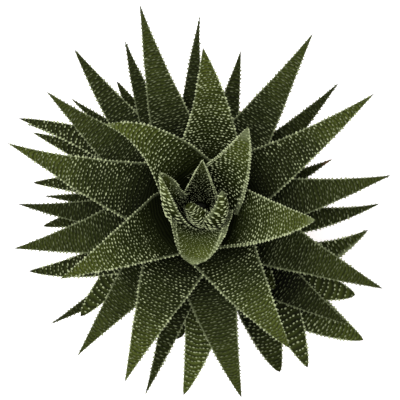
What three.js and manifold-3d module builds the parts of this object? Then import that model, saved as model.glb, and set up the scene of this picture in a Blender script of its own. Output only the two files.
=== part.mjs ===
// A potted haworthia: a rosette of pointed leaves on a short stem, with one offset, in a plain clay pot.
// Millimetres, +Z up. The origin is the middle of the pot's underside, on the surface that it stands on.
import * as THREE from 'three';
import { mergeVertices } from 'three/addons/utils/BufferGeometryUtils.js';
import Module from 'manifold-3d';

const wasm = await Module();
wasm.setup();

// Pot
const potHeight = 62;
const rimRadius = 36;
const bandHeight = 13;
const bandStep = 1.8;
const footRadius = 25;
const wall = 3.5;
const potFloor = 4.5;
const rimRounding = 0.9;
const potSides = 36;
const drainRadius = 3.2;
const drainRing = 12;
const drainCount = 3;
const drainSides = 12;

// Potting mix
const soilTop = 55;
const soilDip = 1.2;
const mixSides = 32;

// Stem, with the point that the leaves turn round
const stemX = 0;
const stemY = -2.5;
const stemFoot = 44;
const stemRadius = 6.5;
const crownTop = 87;
const leafStep = 0.64;
const offsetX = 19;
const offsetY = -22.5;
const offsetTop = 70;
const offsetStep = 0.8;
const branchRadii = [3.6, 2.6];
const branchHeading = -48;
const rootRadius = 1.9;

// Gaps: between pieces that rest in each other, and between one leaf and the next one down
const clearance = 0.3;
const leafClearance = 0.4;
const round = 2 * Math.PI;

function rad(degrees) {
  return degrees * Math.PI / 180;
}

// The kinds of leaf, by age
// arch: how many degrees steeper than its chord a leaf leaves the stem, and how many flatter it ends
// cup: how far the margins rise beside the midrib, in half widths, at the stem and at the point
// taper: how full the outer part is, and 1 is straight-sided
const leafColours = {
  heart: 0x8c9660,
  inner: 0x667038,
  upper: 0x5a6434,
  middle: 0x4e5a30,
  lower: 0x444e2c,
  base: 0x39421f,
  offset: 0x39421f,
};
const heart = { kind: 'heart', arch: 0, thick: 2.6, cup: [0.7, 0.45], taper: 1, width: 12 };
const curled = { ...heart, cup: [0.6, 0.5], taper: 0.5, handle: 0.52 };
const inner = { kind: 'inner', arch: 8, thick: 4.2, cup: [0.45, 0.15], taper: 1, width: 20 };
const upper = { kind: 'upper', arch: 3, thick: 4.6, cup: [0.4, 0.1], taper: 1, width: 21 };
const middle = { kind: 'middle', arch: 3, thick: 4.8, cup: [0.35, 0.06], taper: 1, width: 23 };
const lower = { kind: 'lower', arch: 5, thick: 4.6, cup: [0.3, 0.04], taper: 1.05, width: 20.5 };
const base = { kind: 'base', arch: 9, thick: 3.8, cup: [0.3, 0.02], taper: 1, width: 15 };
const offset = { kind: 'offset', arch: 10, thick: 3.4, cup: [0.3, 0.05], taper: 0.75, width: 14 };

// The main rosette, from the growing tip down
// bearing and reach: where the point is, about the stem. height: the point's, over the table.
// sweep: how far the leaf's line swings from the bearing, one way at the stem and the other at the point
// heading and pitch: the line's own turn and slope at the stem and at the point, for a leaf that curls
// roll: how far the blade is turned about its own line, at the stem and at the point
// handle: how long the leaf holds the slopes of its ends, as a share of its chord
const rosette = [
  {
    ...curled, bearing: 163, reach: 4.6, height: 113, pitch: [66, 15], heading: [262, 128], roll: [0, 175],
    width: 10, taper: 0.36,
  },
  {
    ...curled, bearing: 38.5, reach: 9.3, height: 117, pitch: [62, 22], heading: [268, 460], roll: [0, -165],
    width: 13.5,
  },
  {
    ...heart, bearing: 140, reach: 17.5, height: 127, pitch: [44, 68], heading: [218, 108], roll: [-5, 56],
    width: 14, taper: 0.5, handle: 0.5, cup: [0.9, 1.25],
  },
  { ...heart, bearing: 87, reach: 15.6, height: 126, pitch: [62, 76], width: 13.5 },
  {
    ...heart, bearing: 262, reach: 19, height: 124, pitch: [58, 50], heading: [270, 258],
    width: 23, taper: 0.3,
  },
  {
    ...inner, bearing: 59.5, reach: 30.2, height: 137, heading: [45, 76], arch: 0,
    width: 22.5, taper: 0.85,
  },
  { ...inner, bearing: 139, reach: 41.4, height: 128, heading: [131, 176], arch: 16, width: 25 },
  { ...upper, bearing: 354, reach: 37.6, height: 130, sweep: 11, taper: 0.8, width: 25 },
  { ...upper, bearing: 207, reach: 52, height: 120, sweep: -2, width: 23 },
  { ...upper, bearing: 89, reach: 51.8, height: 132, sweep: 13, taper: 0.93, width: 25.5 },
  { ...middle, bearing: 302.5, reach: 56, height: 111, sweep: 5, taper: 0.85, width: 24 },
  { ...middle, bearing: 161.5, reach: 69.8, height: 101, sweep: -6.5, taper: 1.1, width: 23.5 },
  { ...middle, bearing: 33.2, reach: 71.5, height: 102, sweep: 6, taper: 1.05, width: 20 },
  { ...middle, bearing: 246.7, reach: 64.5, height: 106, sweep: 2, width: 25 },
  { ...lower, bearing: 106.5, reach: 74, height: 92, sweep: -4, width: 19 },
  { ...lower, bearing: 282.3, reach: 68, height: 91, sweep: 7, taper: 0.9, width: 23 },
  { ...lower, bearing: 57, reach: 72.5, height: 91, sweep: 2, width: 19.5 },
  { ...lower, bearing: 9.5, reach: 68, height: 89, sweep: 7 },
  { ...lower, bearing: 192.5, reach: 67, height: 88, sweep: -5, width: 24.5 },
  { ...lower, bearing: 336, reach: 70, height: 90, sweep: 2, taper: 0.95, width: 22 },
  { ...lower, bearing: 143, reach: 68, height: 85, sweep: -4.5 },
  { ...lower, bearing: 230.5, reach: 68, height: 86, sweep: 2, width: 22 },
  { ...base, bearing: 90, reach: 68, height: 83, sweep: -8, width: 13, taper: 1.1 },
  { ...base, bearing: 179, reach: 65, height: 80, sweep: -9, width: 16 },
  { ...base, bearing: 114.2, reach: 65, height: 80, sweep: -9 },
  { ...base, bearing: 253.7, reach: 70, height: 78, sweep: -6, width: 15 },
  { ...base, bearing: 128.5, reach: 72, height: 79, sweep: -6, width: 17, taper: 0.9 },
  { ...base, bearing: 41.9, reach: 66.5, height: 79, sweep: 6, width: 14 },
  { ...base, bearing: 200.5, reach: 65.5, height: 76, sweep: -20, width: 18, taper: 0.8 },
  { ...base, bearing: 1.2, reach: 64.5, height: 77, sweep: 18, width: 16 },
  { ...base, bearing: 222.5, reach: 58, height: 76, sweep: 9, taper: 0.6, width: 16 },
  { ...base, bearing: 154, reach: 72.5, height: 75, sweep: 13, width: 14, taper: 0.8 },
  { ...base, bearing: 75.4, reach: 58, height: 76, sweep: 4, width: 14.5 },
  { ...base, bearing: 265, reach: 68, height: 73, sweep: -15, taper: 0.75, width: 20.5 },
  { ...base, bearing: 187, reach: 57, height: 73, sweep: 6, taper: 0.75, width: 15 },
  { ...base, bearing: 156, reach: 66, height: 73, sweep: 3, width: 15, taper: 0.85 },
  { ...base, bearing: 20, reach: 51, height: 72, sweep: 9, width: 12 },
  { ...base, bearing: 140, reach: 61, height: 73, sweep: 3, width: 13 },
  { ...base, bearing: 218, reach: 69, height: 70, sweep: -10, width: 13 },
  { ...base, bearing: 171.8, reach: 61, height: 71, sweep: 9, width: 14, taper: 0.75 },
  { ...base, bearing: 123.5, reach: 54.5, height: 72, sweep: -2, taper: 0.8, width: 14 },
  { ...base, bearing: 154.5, reach: 70, height: 69, sweep: 12, width: 13.5 },
  { ...base, bearing: 176, reach: 57, height: 69, sweep: 0, width: 12 },
  { ...base, bearing: 260.5, reach: 48.5, height: 68, sweep: -8, taper: 0.5, width: 13 },
];

// The offset, the same way about its own stem
const offsetRosette = [
  { ...offset, bearing: 200, reach: 4, height: 79, width: 7 },
  { ...offset, bearing: 60, reach: 8, height: 79, width: 9 },
  { ...offset, bearing: 310, reach: 12, height: 80, width: 10 },
  { ...offset, bearing: 327, reach: 40, height: 77, sweep: 2, width: 15, taper: 0.9 },
  { ...offset, bearing: 297.5, reach: 42.5, height: 74, sweep: -6, width: 17.5 },
  { ...offset, bearing: 342.5, reach: 38.5, height: 74, sweep: 5, width: 17, taper: 0.6 },
  { ...offset, bearing: 325, reach: 49, height: 70, sweep: 11, width: 22, taper: 0.75 },
  { ...offset, bearing: 284, reach: 41, height: 69, sweep: 8, width: 18.5, taper: 0.65 },
  { ...offset, bearing: 15.8, reach: 43.5, height: 70, sweep: 21, width: 15, taper: 0.9 },
];

// How wide and how thick a leaf is, as shares of its most, at a share of the way from stem to point
const widestAt = 0.28;
const sheathWidth = 0.62;
const sheathThickness = 0.45;
const bodyTaper = 0.7;
const handleShare = 0.36;
const poleShare = 0.01;

function spread(along, taper, atStem) {
  if (along >= widestAt) {
    return ((1 - along) / (1 - widestAt)) ** taper;
  }
  return 1 - (1 - atStem) * (1 - along / widestAt) ** 2;
}

function direction(heading, pitch) {
  const turn = rad(heading);
  const flat = Math.cos(rad(pitch));
  return new THREE.Vector3(Math.cos(turn) * flat, Math.sin(turn) * flat, Math.sin(rad(pitch)));
}

// The two directions across a line that heads one way: level to its left, and up out of it
function acrossFrom(heading, tangent) {
  const side = new THREE.Vector3(-Math.sin(rad(heading)), Math.cos(rad(heading)), 0);
  side.addScaledVector(tangent, -side.dot(tangent)).normalize();
  return { side, up: new THREE.Vector3().crossVectors(tangent, side) };
}

// The midrib: a curve that leaves the stem and reaches the point at the leaf's own slopes and headings
function midrib(leaf) {
  const sweep = leaf.sweep ?? 0;
  const heading = leaf.heading ?? [leaf.bearing - sweep, leaf.bearing + sweep];
  const flat = new THREE.Vector3(Math.cos(rad(leaf.bearing)), Math.sin(rad(leaf.bearing)), 0);
  const point = leaf.root.clone().addScaledVector(flat, leaf.reach);
  point.z = leaf.height;
  const chord = point.distanceTo(leaf.root);
  const slope = Math.atan2(point.z - leaf.root.z, leaf.reach) * 180 / Math.PI;
  const pitch = leaf.pitch ?? [slope + leaf.arch, slope - leaf.arch];
  const handle = (leaf.handle ?? handleShare) * chord;
  const curve = new THREE.CubicBezierCurve3(
    leaf.root,
    leaf.root.clone().addScaledVector(direction(heading[0], pitch[0]), handle),
    point.clone().addScaledVector(direction(heading[1], pitch[1]), -handle),
    point,
  );
  return { curve, heading };
}

// A leaf's cross-section: places across the blade, and levels over and under it as shares of its body there
const section = [[1, 0], [0, 1], [-1, 0], [-0.55, -0.72], [0, -1], [0.55, -0.72]];
const leafRings = 8;
const bodyAbove = 0.15;

// One leaf as a closed surface: a sphere's rings, each moved to a cross-section on the midrib
function leafShape(leaf, grow) {
  const { curve, heading } = midrib(leaf);
  return sleeve(curve, section.length, leafRings, grow, (along, corner, at, tangent) => {
    const { side, up } = acrossFrom(heading[0] + (heading[1] - heading[0]) * along, tangent);
    const roll = rad(leaf.roll ? leaf.roll[0] + (leaf.roll[1] - leaf.roll[0]) * along : 0);
    side.applyAxisAngle(tangent, roll);
    up.applyAxisAngle(tangent, roll);
    const half = spread(along, leaf.taper, sheathWidth) * leaf.width / 2 + grow;
    const thick = spread(along, bodyTaper, sheathThickness) * leaf.thick;
    const [across, level] = section[corner];
    const body = thick * (level > 0 ? bodyAbove : 1 - bodyAbove) + grow;
    const cup = leaf.cup[0] + (leaf.cup[1] - leaf.cup[0]) * along;
    at.addScaledVector(side, half * across);
    at.addScaledVector(up, cup * half * across * across + level * body);
  });
}

// A closed sleeve round a curve: a sphere whose poles go to the curve's ends, its rings placed by a rule
function sleeve(curve, sides, rings, grow, placeCorner) {
  const shape = new THREE.SphereGeometry(1, sides, rings);
  const place = shape.attributes.position;
  for (let i = 0; i < place.count; i += 1) {
    const along = Math.acos(THREE.MathUtils.clamp(-place.getY(i), -1, 1)) / Math.PI;
    const turn = Math.atan2(-place.getZ(i), place.getX(i));
    const corner = (Math.round(turn * sides / round) + sides) % sides;
    const at = curve.getPoint(along);
    const tangent = curve.getTangent(along);
    if (along < poleShare || along > 1 - poleShare) {
      at.addScaledVector(tangent, along > 0.5 ? grow : -grow);
    } else {
      placeCorner(along, corner, at, tangent);
    }
    place.setXYZ(i, at.x, at.y, at.z);
  }
  return shape;
}

// A closed surface as a solid that can be joined and cut, and back
function solid(geometry) {
  const bare = geometry.clone();
  bare.deleteAttribute('normal');
  bare.deleteAttribute('uv');
  const merged = mergeVertices(bare, 1e-4);
  return new wasm.Manifold(new wasm.Mesh({
    numProp: 3,
    vertProperties: Float32Array.from(merged.attributes.position.array),
    triVerts: Uint32Array.from(merged.index.array),
  }));
}

function surface(body) {
  const mesh = body.getMesh();
  const geometry = new THREE.BufferGeometry();
  geometry.setAttribute('position', new THREE.BufferAttribute(mesh.vertProperties, 3));
  geometry.setIndex(new THREE.BufferAttribute(mesh.triVerts, 1));
  geometry.computeVertexNormals();
  return geometry;
}

// The largest piece that a cut leaves
function largest(body) {
  const pieces = body.decompose();
  return pieces.reduce((best, piece) => (piece.volume() > best.volume() ? piece : best));
}

// A round rod along a curve that heads one way, thinning from its start to its end
function rod(points, heading, startRadius, endRadius, grow, rings, sides) {
  const curve = new THREE.CatmullRomCurve3(points);
  return sleeve(curve, sides, rings, grow, (along, corner, at, tangent) => {
    const { side, up } = acrossFrom(heading, tangent);
    const radius = startRadius + (endRadius - startRadius) * along + grow;
    const turn = round * corner / sides;
    at.addScaledVector(side, radius * Math.cos(turn));
    at.addScaledVector(up, radius * Math.sin(turn));
  });
}

function lathe(profile, sides) {
  const points = profile.map(([radius, height]) => new THREE.Vector2(radius, height));
  return new THREE.LatheGeometry(points, sides).rotateX(Math.PI / 2);
}

// Pot: a tapered wall with a thicker band at the rim, and drain holes through the floor
function wallRadius(height) {
  return footRadius + (rimRadius - bandStep - footRadius) * height / potHeight;
}

function potShape() {
  const outer = wallRadius(potHeight - bandHeight);
  const profile = [
    [0, 0],
    [footRadius - rimRounding, 0],
    [footRadius, rimRounding],
    [outer, potHeight - bandHeight],
    [outer + bandStep, potHeight - bandHeight + bandStep / 2],
    [rimRadius, potHeight - rimRounding],
    [rimRadius - rimRounding, potHeight],
    [rimRadius - wall, potHeight],
    [rimRadius - wall - rimRounding, potHeight - rimRounding],
    [footRadius - wall, potFloor],
    [0, potFloor],
    [0, 0],
  ];
  let pot = solid(lathe(profile, potSides));
  for (let i = 0; i < drainCount; i += 1) {
    const drill = new THREE.CylinderGeometry(drainRadius, drainRadius, 3 * potFloor, drainSides);
    const turn = round * (i + 0.5) / drainCount;
    drill.rotateX(Math.PI / 2);
    drill.translate(drainRing * Math.cos(turn), drainRing * Math.sin(turn), potFloor / 2);
    pot = pot.subtract(solid(drill));
  }
  return pot;
}

// Stem: a stub that the leaves leave in turn, a branch for the offset, and fleshy roots, all grown as one
const stemAt = (height) => new THREE.Vector3(stemX, stemY, height);
const offsetAt = (height) => new THREE.Vector3(offsetX, offsetY, height);
const stemSides = 12;
const branchSides = 8;
const branchRings = 7;
const rootSides = 6;
const rootRings = 6;

function trunk(grow) {
  const footTaper = 0.7;
  const crownTaper = 0.55;
  const crownHeight = 11;
  const endRounding = 2;
  const profile = [
    [0, stemFoot - grow],
    [stemRadius * footTaper + grow, stemFoot + endRounding - grow],
    [stemRadius + grow, soilTop],
    [stemRadius + grow, crownTop - crownHeight],
    [stemRadius * crownTaper + grow, crownTop],
    [0, crownTop + endRounding + grow],
  ];
  return solid(lathe(profile, stemSides).translate(stemX, stemY, 0));
}

// The branch leaves the stem under the mix, bends out and turns up into the offset
function branch(grow) {
  const points = [
    stemAt(soilTop - 5),
    new THREE.Vector3(9, -12, soilTop - 3),
    new THREE.Vector3(16.5, -19.5, soilTop + 3),
    offsetAt(offsetTop),
  ];
  return solid(rod(points, branchHeading, ...branchRadii, grow, branchRings, branchSides));
}

// turn: which way a root goes. reach: how far out. depth: how high over the table it ends.
const roots = [
  { turn: 20, reach: 15, depth: 16 },
  { turn: 95, reach: 17, depth: 20 },
  { turn: 170, reach: 14, depth: 13 },
  { turn: 235, reach: 18, depth: 24 },
  { turn: 290, reach: 13, depth: 12 },
];

function rootShape(root, grow) {
  const out = direction(root.turn, 0);
  const away = (reach, height) => stemAt(height).addScaledVector(out, reach);
  const shoulder = stemFoot - 2;
  const points = [
    away(2, stemFoot + 3),
    away(8, shoulder),
    away(root.reach, (shoulder - 2 + root.depth) / 2),
    away(root.reach - 2, root.depth),
  ];
  return solid(rod(points, root.turn, rootRadius, rootRadius / 2, grow, rootRings, rootSides));
}

function stemShape(grow) {
  return roots.reduce((body, root) => body.add(rootShape(root, grow)), trunk(grow).add(branch(grow)));
}

// Potting mix: fills the pot to below its rim, round the stem and the roots
function mixShape() {
  const facetAllowance = 0.2;
  const inset = wall + clearance + facetAllowance;
  const slope = (rimRadius - footRadius - rimRounding) / (potHeight - rimRounding - potFloor);
  const radiusAt = (height) => footRadius - inset + slope * (height - potFloor);
  const low = potFloor + clearance;
  const profile = [
    [0, low],
    [radiusAt(low), low],
    [radiusAt(soilTop), soilTop],
    [radiusAt(soilTop) * 0.6, soilTop - soilDip],
    [0, soilTop - soilDip / 2],
  ];
  return solid(lathe(profile, mixSides)).subtract(stemShape(clearance));
}

const claySkin = new THREE.MeshStandardMaterial({ color: 0xb5714f, roughness: 0.88, metalness: 0 });
const mixSkin = new THREE.MeshStandardMaterial({ color: 0x2c211a, roughness: 0.95, metalness: 0 });
const stemSkin = new THREE.MeshStandardMaterial({ color: 0x9a8f62, roughness: 0.7, metalness: 0 });

const plant = new THREE.Group();

function place(name, body, skin) {
  const mesh = new THREE.Mesh(surface(body), skin);
  mesh.name = name;
  plant.add(mesh);
}

place('pot', potShape(), claySkin);
place('potting_mix', mixShape(), mixSkin);
place('stem', stemShape(0), stemSkin);

// Each leaf is cut to clear the stem and every leaf laid before it, and is numbered within its kind
const grownStem = stemShape(clearance);
const laid = [];
const counts = {};

function layLeaf(leaf) {
  const whole = solid(leafShape(leaf, 0));
  let body = whole.subtract(grownStem);
  for (const above of laid) {
    body = body.subtract(above);
  }
  laid.push(whole.add(solid(leafShape(leaf, leafClearance))));
  counts[leaf.kind] = (counts[leaf.kind] ?? 0) + 1;
  const color = leafColours[leaf.kind];
  const skin = new THREE.MeshStandardMaterial({ color, roughness: 0.5, metalness: 0 });
  place(`${leaf.kind}_leaf_${counts[leaf.kind]}`, largest(body), skin);
}

rosette.forEach((leaf, i) => {
  layLeaf({ ...leaf, root: stemAt(crownTop - i * leafStep) });
});
offsetRosette.forEach((leaf, i) => {
  layLeaf({ ...leaf, root: offsetAt(offsetTop - i * offsetStep) });
});

export default plant;
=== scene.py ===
"""A potted haworthia: a tubercled rosette with an offset, in gritty mix, in a plain clay pot.

Metres, +Z up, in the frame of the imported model. The camera looks straight down on the rosette.
"""

import math
import random

import bmesh
import bpy
from mathutils import Matrix, Vector, noise


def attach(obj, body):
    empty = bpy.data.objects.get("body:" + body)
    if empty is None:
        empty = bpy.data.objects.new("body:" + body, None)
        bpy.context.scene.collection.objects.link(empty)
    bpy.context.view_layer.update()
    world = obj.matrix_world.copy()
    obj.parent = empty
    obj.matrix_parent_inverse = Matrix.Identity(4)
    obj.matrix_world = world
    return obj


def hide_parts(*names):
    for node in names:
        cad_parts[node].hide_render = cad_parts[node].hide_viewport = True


bl_info = {
    "name": "Potted Haworthia",
    "version": (1, 0, 0),
    "blender": (4, 5, 0),
    "location": "View3D > Sidebar > Haworthia",
    "description": "Builds a potted haworthia round its packed frame",
    "category": "Object",
}

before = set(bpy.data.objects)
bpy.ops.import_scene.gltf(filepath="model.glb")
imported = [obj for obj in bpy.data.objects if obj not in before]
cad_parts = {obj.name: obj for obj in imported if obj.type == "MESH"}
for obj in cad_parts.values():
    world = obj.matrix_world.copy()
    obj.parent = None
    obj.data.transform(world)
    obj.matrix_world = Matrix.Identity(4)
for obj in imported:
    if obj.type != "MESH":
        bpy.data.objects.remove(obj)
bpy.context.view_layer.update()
MM = 0.001
TURN = 2 * math.pi

# Settings: the sizes and colours that a user would change


def colour_setting(name, description, default):
    return bpy.props.FloatVectorProperty(
        name=name, description=description, subtype="COLOR", size=3, min=0, max=1, default=default
    )


def length_setting(name, description, default, low=0.0):
    return bpy.props.FloatProperty(
        name=name, description=description, subtype="DISTANCE", unit="LENGTH", min=low, default=default
    )


class HaworthiaLeafSettings(bpy.types.PropertyGroup):
    """Leaves and their tubercles"""

    # The leaf foot's colour is partly the leaf's own darker foot and partly painted shade from the leaves
    # above it
    shade_colour: colour_setting("Leaf foot", "Colour of a leaf near the stem", (0.0045, 0.0058, 0.0014))
    green_colour: colour_setting("Leaf green", "Colour of the middle of a grown leaf", (0.022, 0.029, 0.0058))
    tip_colour: colour_setting(
        "Leaf tip", "Colour of the outer third of a grown leaf", (0.060, 0.075, 0.0135)
    )
    margin_colour: colour_setting(
        "Leaf margin", "Colour of the thin line along a leaf's margin", (0.20, 0.23, 0.12)
    )
    pearl_colour: colour_setting("Tubercles", "Colour of the brightest tubercles", (0.36, 0.40, 0.22))
    tubercle_gap: length_setting(
        "Tubercle gap", "Distance between two rows of tubercles", 0.0012, low=0.0005
    )


class HaworthiaPotSettings(bpy.types.PropertyGroup):
    """Pot and potting mix"""

    height: length_setting("Height", "Height of the pot", 0.062)
    rim_radius: length_setting("Rim radius", "Outer radius at the rim", 0.036)
    foot_radius: length_setting("Foot radius", "Outer radius at the foot", 0.025)
    clay_colour: colour_setting("Clay", "Colour of the fired clay", (0.43, 0.165, 0.082))
    mix_colour: colour_setting(
        "Potting mix", "Colour of the fine part of the potting mix", (0.022, 0.0145, 0.0095)
    )
    grains: bpy.props.IntProperty(name="Grains", description="Grains of grit on the mix", min=0, default=900)


class HaworthiaStageSettings(bpy.types.PropertyGroup):
    """Floor, light and camera"""

    camera_height: length_setting("Camera height", "Height of the camera over the floor", 0.65)
    floor_colour: colour_setting("Floor", "Colour of the floor", (0.88, 0.88, 0.88))
    floor_glow: bpy.props.FloatProperty(
        name="Floor glow", description="How much the floor fills its own shadows in", min=0, default=0.55
    )
    key_power: bpy.props.FloatProperty(
        name="Overhead light", description="Power of the soft light overhead",
        subtype="POWER", unit="POWER", default=20,
    )
    world_strength: bpy.props.FloatProperty(
        name="Surroundings", description="Strength of the white surroundings", min=0, default=0.6
    )


# Shader maths


NOISE_ROUGHNESS = 0.55


class Wire:
    """A shader socket that can stand in plain arithmetic"""

    def __init__(self, shader, socket):
        self.shader = shader
        self.socket = socket

    def _math(self, operation, *values):
        return self.shader.add("ShaderNodeMath", {"operation": operation}, *values)

    def __add__(self, other):
        return self._math("ADD", self, other)

    __radd__ = __add__

    def __sub__(self, other):
        return self._math("SUBTRACT", self, other)

    def __rsub__(self, other):
        return self._math("SUBTRACT", other, self)

    def __mul__(self, other):
        return self._math("MULTIPLY", self, other)

    __rmul__ = __mul__

    def __truediv__(self, other):
        return self._math("DIVIDE", self, other)

    def __rtruediv__(self, other):
        return self._math("DIVIDE", other, self)

    def sine(self):
        return self._math("SINE", self)

    def between(self, low, high):
        """0 below low, 1 above high, and a smooth step on the way"""
        return self.shader.add(
            "ShaderNodeMapRange",
            {"interpolation_type": "SMOOTHSTEP"},
            Value=self,
            **{"From Min": low, "From Max": high, "To Min": 0.0, "To Max": 1.0},
        )


class Shader:
    """A material whose nodes are laid from Python"""

    def __init__(self, name):
        self.material = bpy.data.materials.new(name)
        self.material.use_nodes = True
        self.tree = self.material.node_tree
        self.surface = self.tree.nodes["Principled BSDF"]

    def add(self, kind, settings, *values, out=0, **named):
        """Adds one node: its settings first, then its inputs by order or by name"""
        node = self.tree.nodes.new(kind)
        for key, value in settings.items():
            setattr(node, key, value)
        by_name = [(node.inputs[key], value) for key, value in named.items()]
        for socket, value in [*zip(node.inputs, values), *by_name]:
            self.feed(socket, value)
        return Wire(self, node.outputs[out])

    def feed(self, socket, value):
        if isinstance(value, Wire):
            self.tree.links.new(value.socket, socket)
        elif hasattr(socket.default_value, "__len__") and not hasattr(value, "__len__"):
            socket.default_value = (value,) * len(socket.default_value)
        elif hasattr(socket.default_value, "__len__") and len(value) < len(socket.default_value):
            socket.default_value = (*value, 1)
        else:
            socket.default_value = value

    def attribute(self, name):
        return self.add("ShaderNodeAttribute", {"attribute_name": name}, out=2)

    def place(self):
        return self.add("ShaderNodeTexCoord", {}, out=3)

    def noise(self, place, scale, detail=3.0):
        return self.add(
            "ShaderNodeTexNoise", {}, Vector=place, Scale=scale, Detail=detail, Roughness=NOISE_ROUGHNESS
        )

    def stretched(self, place, scale):
        return self.add("ShaderNodeVectorMath", {"operation": "MULTIPLY"}, place, scale)

    def blend(self, factor, first, second, how="MIX"):
        """A mix of two colours"""
        node = self.tree.nodes.new("ShaderNodeMix")
        node.data_type = "RGBA"
        node.blend_type = how
        for socket, value in zip((node.inputs[0], node.inputs[6], node.inputs[7]), (factor, first, second)):
            self.feed(socket, value)
        return Wire(self, node.outputs[2])

    def grey(self, value):
        return self.add("ShaderNodeCombineColor", {}, Red=value, Green=value, Blue=value)

    def mapped(self, x, y, z):
        return self.add("ShaderNodeCombineXYZ", {}, X=x, Y=y, Z=z)

    def wear(self, **inputs):
        """Sets the surface's own sockets"""
        for key, value in inputs.items():
            self.feed(self.surface.inputs[key.replace("_", " ")], value)

    def bump(self, height, strength, distance):
        normal = self.add("ShaderNodeBump", {}, Height=height, Strength=strength, Distance=distance)
        self.feed(self.surface.inputs["Normal"], normal)


# How close the patches, the flecks and the wrinkles of a leaf's skin are
PATCHES, FLECKS, WRINKLES = 95.0, 1400.0, 1.6
# Between which shares of the leaf its foot's colour (its own darker tone plus painted shade) ends, its point's
# begins, and a dry point begins
FOOT_ENDS, POINT_BEGINS, DRY_BEGINS = (0.26, 0.7), (0.5, 0.98), (0.9, 0.97)
DRY_COLOUR = (0.16, 0.075, 0.03)
SKIN_RELIEF = 0.25 * MM


def leaf_skin(name, look, fresh):
    """Green skin: dark at the foot, partly its own colour and partly painted shade, olive in the middle,
    fresher at the point, with a pale margin
    """
    skin = Shader(name)
    along, vigour, ridge = (skin.attribute(layer) for layer in ("along", "vigour", "ridge"))
    place = skin.place()
    patch = skin.noise(place, PATCHES)
    fleck = skin.noise(place, FLECKS)
    wrinkle = skin.noise(skin.mapped(ridge * WRINKLES, skin.attribute("aside"), vigour), 1.0, detail=2.0)
    # row and relief: the skin's wrinkles and the ridges between rows of tubercles. In the colour they are
    # painted shade and painted light, dark on one side of each row and light on the other. They also drive the
    # bump below
    row = (ridge * TURN).sine() * 0.5 + 0.5
    relief = wrinkle * 0.55 + row * 0.45
    drift = along + (patch - 0.5) * 0.22
    # Painted shade: towards its foot the leaf is blended to the near-black foot colour, on top of its own
    # darker tone
    colour = skin.blend(drift.between(*FOOT_ENDS), look.shade_colour, look.green_colour)
    colour = skin.blend(drift.between(*POINT_BEGINS) * fresh, colour, look.tip_colour)
    # light: the skin's own patchy mottling and each leaf's own lightness, times painted shade and painted
    # light from the relief
    light = (0.6 + patch * 0.6) * (0.7 + fleck * 0.6) * (0.05 + relief * 1.9) * vigour
    colour = skin.blend(1.0, colour, skin.grey(light), how="MULTIPLY")
    # The pale margin is dimmed by the relief too, which is painted shade
    colour = skin.blend(skin.attribute("pale") * (0.35 + relief * 0.5), colour, look.margin_colour)
    dry = skin.attribute("dry") * along.between(*DRY_BEGINS)
    colour = skin.blend(dry, colour, DRY_COLOUR)
    skin.wear(Base_Color=colour, Roughness=0.55 + patch * 0.12, Specular_IOR_Level=0.03)
    skin.bump(relief + fleck * 0.2, 0.8, SKIN_RELIEF)
    return skin.material


def plain_skin(name, colour, roughness, specular):
    skin = Shader(name)
    skin.wear(Base_Color=colour, Roughness=roughness, Specular_IOR_Level=specular)
    return skin.material


# How far each tone of tubercle is on the way from the leaf's green to the brightest pearl
TONES = (("dim", 0.1), ("dull", 0.28), ("pale", 0.58), ("bright", 1.0))
TUBERCLE_ROUGHNESS, TUBERCLE_SHEEN = 0.5, 0.15


def tubercle_skins(name, look, brightness):
    """The tones of tubercle, from one that hardly shows to a bright pearl"""
    tones = []
    for tone, share in TONES:
        mixed = [g * (1 - share) + p * share for g, p in zip(look.green_colour, look.pearl_colour)]
        colour = [min(c * brightness, 1) for c in mixed]
        tones.append(plain_skin(f"{name} {tone}", colour, TUBERCLE_ROUGHNESS, TUBERCLE_SHEEN))
    return tones


# Leaves

STEM_X, STEM_Y = 0.0, -2.5
CROWN_TOP, LEAF_STEP = 87.0, 0.64
OFFSET_X, OFFSET_Y = 19.0, -22.5
OFFSET_TOP, OFFSET_STEP = 70.0, 0.8
WIDEST_AT = 0.28
SHEATH_WIDTH, SHEATH_THICKNESS = 0.62, 0.45
BODY_TAPER = 0.7
BODY_ABOVE = 0.15
HANDLE = 0.36
COLUMN_GAP = 1.35
TOOTH_GAP = 1.35
TOOTH = 0.66
DOT_LONG, DOT_WIDE = 0.38, 0.22
TOOTH_LONG, TOOTH_WIDE = 0.5, 0.3
ROW_SPAN = 0.93
BEAD_FACES = 12
ROW_BEND = 0.9
WAVE, WAVE_PITCH = 0.9, 0.28
LEAF_SIDES, LEAF_RINGS = 28, 48
TICKS = 64
POLE = 0.001
# Where one tone of tubercle ends and the next begins, on a leaf's face and along its margins
FACE_TONES, RIM_TONES = (0.32, 0.52, 0.78), (0.45, 0.85)
BACK = dict(rows=1.35, columns=1.25, fade=0.16)

# Kinds of leaf, by age. arch: how many degrees steeper than its chord a leaf starts, and flatter it ends.
# cup: how far the margins rise beside the midrib, in half widths, at the stem and at the point. dots, long:
# how large and how drawn out across the leaf the tubercles are. rows, columns: how far apart they stand.
# fade: where they begin, as a share of the leaf. shine: how pale they are. tidy: how much they stray.
# waning: how much they weaken at the point. vigour: how light the skin is. back: the same for the outer face.
dash = dict(dots=1.6, long=1.6, rows=0.9, columns=1.45, shine=2, fade=0.05, tidy=0.25, waning=0)
fine_dash = dict(dots=0.95, long=2.6, rows=0.66, columns=1.1, shine=1.1, fade=0.05, tidy=0.1, waning=0)
spotted = dict(dots=1.25, long=1.1, rows=1.35, columns=0.85, shine=1.3, tidy=0.5, vigour=0.5)
banded = dict(dots=1.7, long=0.72, rows=1.9, columns=0.95, shine=1.7, tidy=0.35, vigour=0.7)
smooth = dict(dots=1.0, long=2.0, rows=1.0, shine=0.33, vigour=0.42)
heart = dict(
    kind="heart", arch=0, thick=2.6, cup=(0.7, 0.45), taper=1, width=12, dots=0.9, long=1, rows=0.85,
    columns=0.8, fade=0.1, shine=0.8, vigour=1.1, back=dash,
)
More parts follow.
